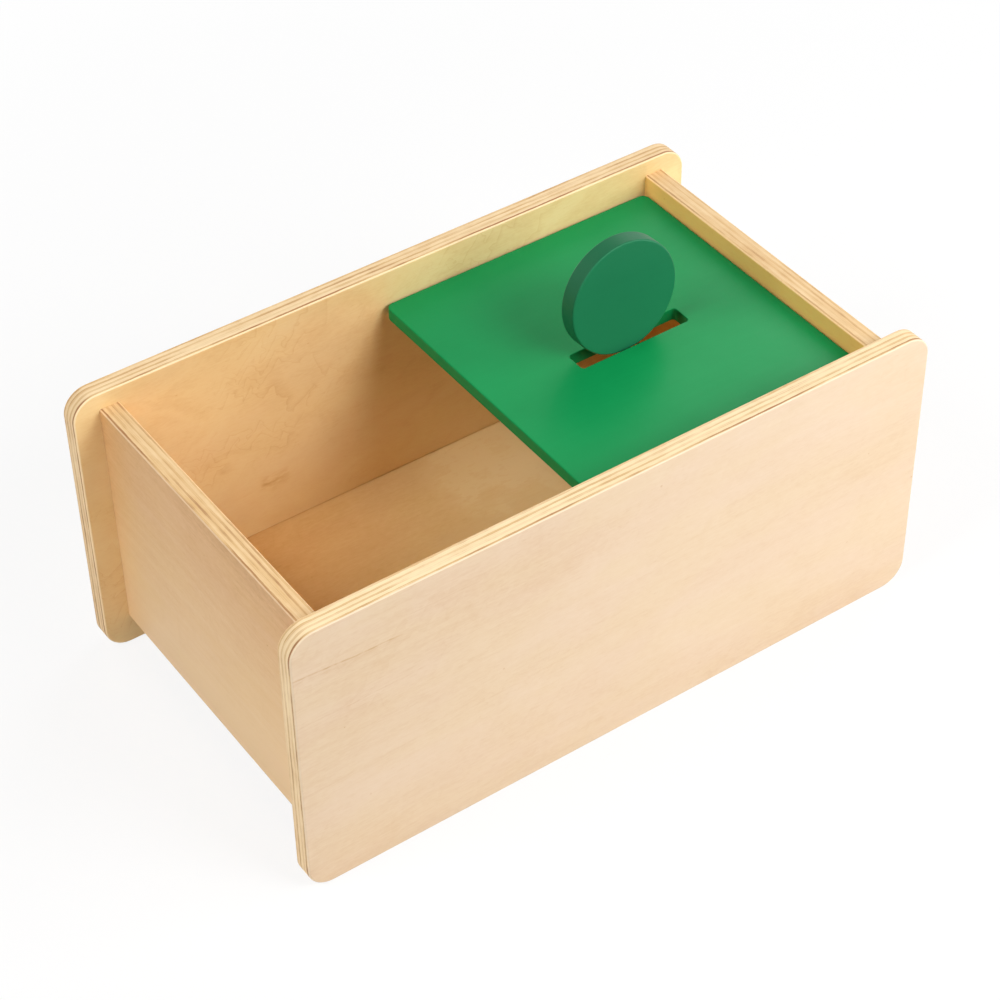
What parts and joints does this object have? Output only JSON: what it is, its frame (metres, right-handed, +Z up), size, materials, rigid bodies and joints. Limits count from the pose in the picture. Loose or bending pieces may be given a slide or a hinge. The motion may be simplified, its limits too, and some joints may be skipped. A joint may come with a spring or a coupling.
{
  "type": "posting box with flip lid",
  "caption": "Plywood posting box for toddlers: an open half, a slotted painted lid that turns over on pins at mid-length to cover either half, and a round chip posted through the slot.",
  "frame": {"origin": "centre of the box at ground level, under the middle of its length and width", "axes": "+X along the box from the open half to the covered half, +Y from the front panel to the back panel, +Z up"},
  "size_m": [0.3, 0.169, 0.1675],
  "materials": {
    "birch_ply": "clear satin lacquer, ply lines on the edges",
    "plain_wood": "sanded",
    "green_paint": "satin paint on wood",
    "steel": "plain"
  },
  "bodies": {
    "box": {"front_panel": "birch_ply", "back_panel": "birch_ply", "left_end_panel": "birch_ply", "right_end_panel": "birch_ply", "floor_panel": "birch_ply", "left_lid_rest": "plain_wood", "right_lid_rest": "plain_wood", "left_front_lower_dowel": "plain_wood", "left_front_upper_dowel": "plain_wood", "left_back_lower_dowel": "plain_wood", "left_back_upper_dowel": "plain_wood", "right_front_lower_dowel": "plain_wood", "right_front_upper_dowel": "plain_wood", "right_back_lower_dowel": "plain_wood", "right_back_upper_dowel": "plain_wood"},
    "lid": {"lid": "green_paint", "front_pivot_pin": "steel", "back_pivot_pin": "steel"},
    "chip": {"chip": "green_paint"}
  },
  "joints": [
    {"name": "lid_flip", "type": "hinge", "parent": "box", "child": "lid", "pos_m": [0, 0, 0.1155], "axis": [0, -1, 0], "range_deg": [0, 180]},
    {"name": "chip_post", "type": "slide", "parent": "lid", "child": "chip", "axis": [-0.1511, 0.069, 0.9861], "range_m": [-0.0902, 0.025]}
  ]
}
